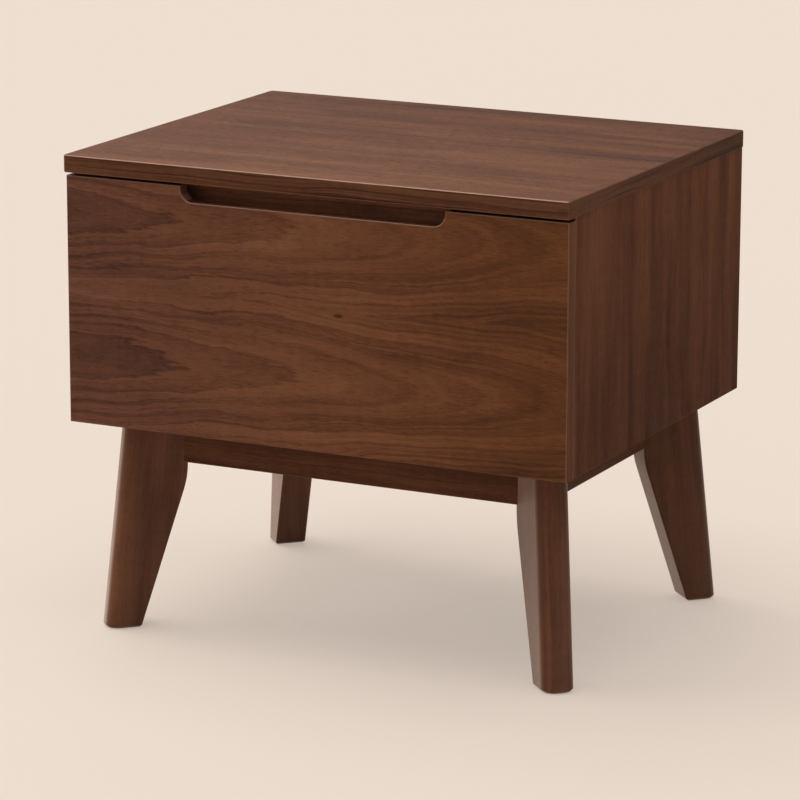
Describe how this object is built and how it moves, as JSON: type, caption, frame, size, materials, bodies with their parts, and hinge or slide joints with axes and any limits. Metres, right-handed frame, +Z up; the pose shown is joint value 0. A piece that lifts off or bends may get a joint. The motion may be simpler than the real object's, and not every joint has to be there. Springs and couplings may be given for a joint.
{
  "type": "nightstand",
  "caption": "Walnut nightstand: a boxy case with a finger-notched drawer front on ball-bearing runners, standing on a recessed rail frame with splayed, tapered plank legs.",
  "frame": {"origin": "on the floor under the middle of the top", "axes": "+X to the right seen from the front, +Y towards the back, +Z up; the drawer opens towards -Y"},
  "size_m": [0.5, 0.4, 0.45],
  "materials": {
    "walnut_top": "satin lacquered walnut veneer, grain along the width",
    "walnut_front": "satin lacquered walnut veneer, grain along the width",
    "walnut_panel": "satin lacquered walnut veneer, upright grain on the sides",
    "walnut_leg": "satin lacquered solid walnut, grain along the leg",
    "walnut_rail": "satin lacquered solid walnut, grain along the rail",
    "beech": "raw beech",
    "drawer_wood": "clear lacquered birch",
    "runner_steel": "zinc-plated cold-rolled steel",
    "cage_plastic": "natural acetal",
    "zinc_steel": "zinc-plated steel",
    "glide_plastic": "dark brown nylon",
    "clear_rubber": "frosted soft polyurethane"
  },
  "bodies": {
    "case": {"back_panel": "walnut_panel", "back_stretcher": "walnut_panel", "bottom_dowels": "beech", "bottom_panel": "walnut_panel", "corner_block_back_left": "beech", "corner_block_back_right": "beech", "corner_block_front_left": "beech", "corner_block_front_right": "beech", "foot_glides": "glide_plastic", "front_stretcher": "walnut_panel", "leg_back_left": "walnut_leg", "leg_back_right": "walnut_leg", "leg_bolts": "zinc_steel", "leg_front_left": "walnut_leg", "leg_front_right": "walnut_leg", "leg_nuts": "zinc_steel", "rail_back": "walnut_rail", "rail_front": "walnut_rail", "rail_left": "walnut_rail", "rail_right": "walnut_rail", "runner_left_case_member": "runner_steel", "runner_right_case_member": "runner_steel", "side_panel_left": "walnut_panel", "side_panel_right": "walnut_panel", "top_dowels": "beech", "top_slab": "walnut_top"},
    "drawer": {"box_back": "drawer_wood", "box_bottom": "drawer_wood", "box_front": "drawer_wood", "box_side_left": "drawer_wood", "box_side_right": "drawer_wood", "drawer_bumpers": "clear_rubber", "drawer_front": "walnut_front", "runner_left_drawer_member": "runner_steel", "runner_right_drawer_member": "runner_steel"},
    "middle_left": {"runner_left_middle_member": "runner_steel"},
    "middle_right": {"runner_right_middle_member": "runner_steel"},
    "outer_cage_left": {"runner_left_outer_cage": "cage_plastic"},
    "outer_cage_right": {"runner_right_outer_cage": "cage_plastic"},
    "inner_cage_left": {"runner_left_inner_cage": "cage_plastic"},
    "inner_cage_right": {"runner_right_inner_cage": "cage_plastic"}
  },
  "joints": [
    {"name": "drawer_slide", "type": "slide", "parent": "case", "child": "drawer", "axis": [0, -1, 0], "range_m": [0, 0.33]},
    {"name": "middle_left_slide", "type": "slide", "parent": "case", "child": "middle_left", "axis": [0, -1, 0], "range_m": [0, 0.165]},
    {"name": "middle_right_slide", "type": "slide", "parent": "case", "child": "middle_right", "axis": [0, -1, 0], "range_m": [0, 0.165]},
    {"name": "outer_cage_left_slide", "type": "slide", "parent": "case", "child": "outer_cage_left", "axis": [0, -1, 0], "range_m": [0, 0.0825]},
    {"name": "outer_cage_right_slide", "type": "slide", "parent": "case", "child": "outer_cage_right", "axis": [0, -1, 0], "range_m": [0, 0.0825]},
    {"name": "inner_cage_left_slide", "type": "slide", "parent": "case", "child": "inner_cage_left", "axis": [0, -1, 0], "range_m": [0, 0.2475]},
    {"name": "inner_cage_right_slide", "type": "slide", "parent": "case", "child": "inner_cage_right", "axis": [0, -1, 0], "range_m": [0, 0.2475]}
  ],
  "couplings": [
    {"joint": "middle_left_slide", "follows": "drawer_slide", "ratio": 0.5},
    {"joint": "middle_right_slide", "follows": "drawer_slide", "ratio": 0.5},
    {"joint": "outer_cage_left_slide", "follows": "drawer_slide", "ratio": 0.25},
    {"joint": "outer_cage_right_slide", "follows": "drawer_slide", "ratio": 0.25},
    {"joint": "inner_cage_left_slide", "follows": "drawer_slide", "ratio": 0.75},
    {"joint": "inner_cage_right_slide", "follows": "drawer_slide", "ratio": 0.75}
  ]
}
